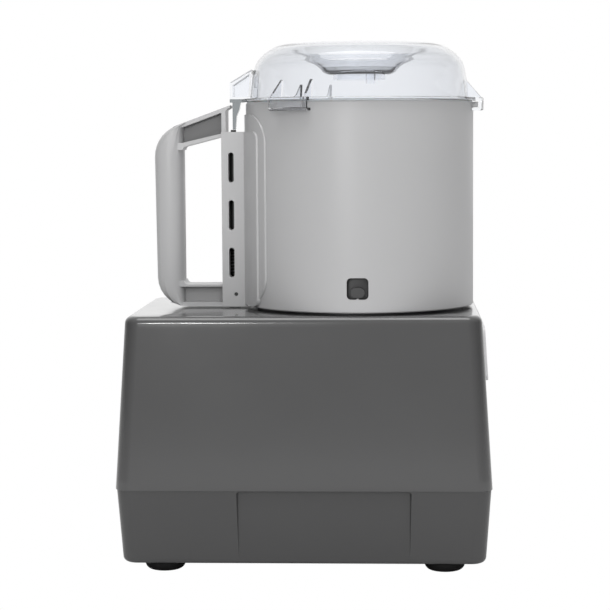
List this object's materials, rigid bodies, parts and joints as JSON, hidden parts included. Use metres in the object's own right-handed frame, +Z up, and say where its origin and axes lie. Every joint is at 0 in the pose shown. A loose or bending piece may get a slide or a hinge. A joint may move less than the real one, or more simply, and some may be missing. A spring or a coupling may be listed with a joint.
{
  "type": "commercial food processor",
  "caption": "Upright motor base with a lift-off grey bowl and side handle, a clear twist-lock domed lid with a safety rod, and a sickle-blade cutter on the motor shaft.",
  "frame": {"origin": "on the table under the middle of the base, between the four feet", "axes": "+Z up; +X towards the front face with the buttons; the bowl's handle is on the -X side"},
  "size_m": [0.28, 0.2, 0.3945],
  "materials": {
    "shell_grey": "fine satin grain",
    "rubber_black": "matt",
    "screw_steel": "zinc plated",
    "panel_grey": "satin",
    "button_green": "gloss",
    "button_red": "gloss",
    "button_dark": "gloss",
    "black_plastic": "satin",
    "board_green": "satin",
    "capacitor_can": "drawn can",
    "seat_grey": "satin",
    "bell_alloy": "as cast",
    "lamination": "oiled laminations",
    "copper": "varnished copper wire",
    "shaft_steel": "ground",
    "bowl_grey": "satin",
    "white_plastic": "satin",
    "magnet": "nickel plated",
    "spring_steel": "drawn wire",
    "seal_rubber": "translucent silicone",
    "lid_clear": "clear polycarbonate",
    "hub_black": "satin",
    "blade_steel": "polished, ground edge"
  },
  "bodies": {
    "base": {"base_housing": "shell_grey", "base_tray": "shell_grey", "rubber_feet": "rubber_black", "foot_screws": "screw_steel", "tray_screws": "screw_steel", "cord_bush": "rubber_black", "control_panel": "panel_grey", "switch_block": "black_plastic", "power_board": "board_green", "start_capacitor": "capacitor_can", "capacitor_clip": "screw_steel", "interlock_switch": "black_plastic", "bowl_seat": "seat_grey", "seat_screws": "screw_steel", "shaft_seal": "rubber_black", "motor_top_bell": "bell_alloy", "motor_stator": "lamination", "motor_windings": "copper", "motor_bottom_bell": "bell_alloy", "motor_tie_bolts": "screw_steel", "shaft_bearings": "shaft_steel"},
    "rotor": {"motor_shaft": "shaft_steel", "motor_rotor": "lamination", "cooling_fan": "black_plastic"},
    "start_button": {"start_button": "button_green"},
    "stop_button": {"stop_button": "button_red"},
    "pulse_button": {"pulse_button": "button_dark"},
    "bowl": {"bowl": "bowl_grey", "bowl_handle": "bowl_grey", "rod_bush": "white_plastic", "rod_pin": "screw_steel", "rod_spring": "spring_steel"},
    "safety_rod": {"safety_rod": "black_plastic", "rod_magnet": "magnet"},
    "lid_seal": {"lid_seal": "seal_rubber"},
    "lid": {"lid": "lid_clear"},
    "cutter": {"cutter_hub": "hub_black", "lower_blade": "blade_steel", "upper_blade": "blade_steel", "cutter_cap": "hub_black"}
  },
  "joints": [
    {"name": "motor_spin", "type": "hinge", "parent": "base", "child": "rotor", "pos_m": [0.0408, 0, 0.12], "axis": [0, 0, 1], "continuous": true},
    {"name": "start_press", "type": "slide", "parent": "base", "child": "start_button", "axis": [-0.9981, 0, -0.061], "range_m": [0, 0.0015], "stiffness_N_per_m": 500, "springref_m": -0.002},
    {"name": "stop_press", "type": "slide", "parent": "base", "child": "stop_button", "axis": [-0.9981, 0, -0.061], "range_m": [0, 0.0015], "stiffness_N_per_m": 500, "springref_m": -0.002},
    {"name": "pulse_press", "type": "slide", "parent": "base", "child": "pulse_button", "axis": [-0.9981, 0, -0.061], "range_m": [0, 0.0015], "stiffness_N_per_m": 500, "springref_m": -0.002},
    {"name": "bowl_lift", "type": "slide", "parent": "base", "child": "bowl", "axis": [0, 0, 1], "range_m": [0, 0.125]},
    {"name": "cutter_lift", "type": "slide", "parent": "rotor", "child": "cutter", "axis": [0, 0, 1], "range_m": [0, 0.125]},
    {"name": "lid_lift", "type": "slide", "parent": "bowl", "child": "lid_seal", "axis": [0, 0, 1], "range_m": [0, 0.06]},
    {"name": "lid_turn", "type": "hinge", "parent": "lid_seal", "child": "lid", "pos_m": [0.0408, 0, 0.3499], "axis": [0, 0, 1], "range_deg": [0, 30]},
    {"name": "rod_slide", "type": "slide", "parent": "bowl", "child": "safety_rod", "axis": [0, 0, 1], "range_m": [0, 0.004], "deforming": ["rod_spring"]}
  ],
  "couplings": [
    {"joint": "cutter_lift", "follows": "bowl_lift", "ratio": 1},
    {"joint": "rod_slide", "follows": "lid_turn", "m_per_rad": 0.007637}
  ]
}
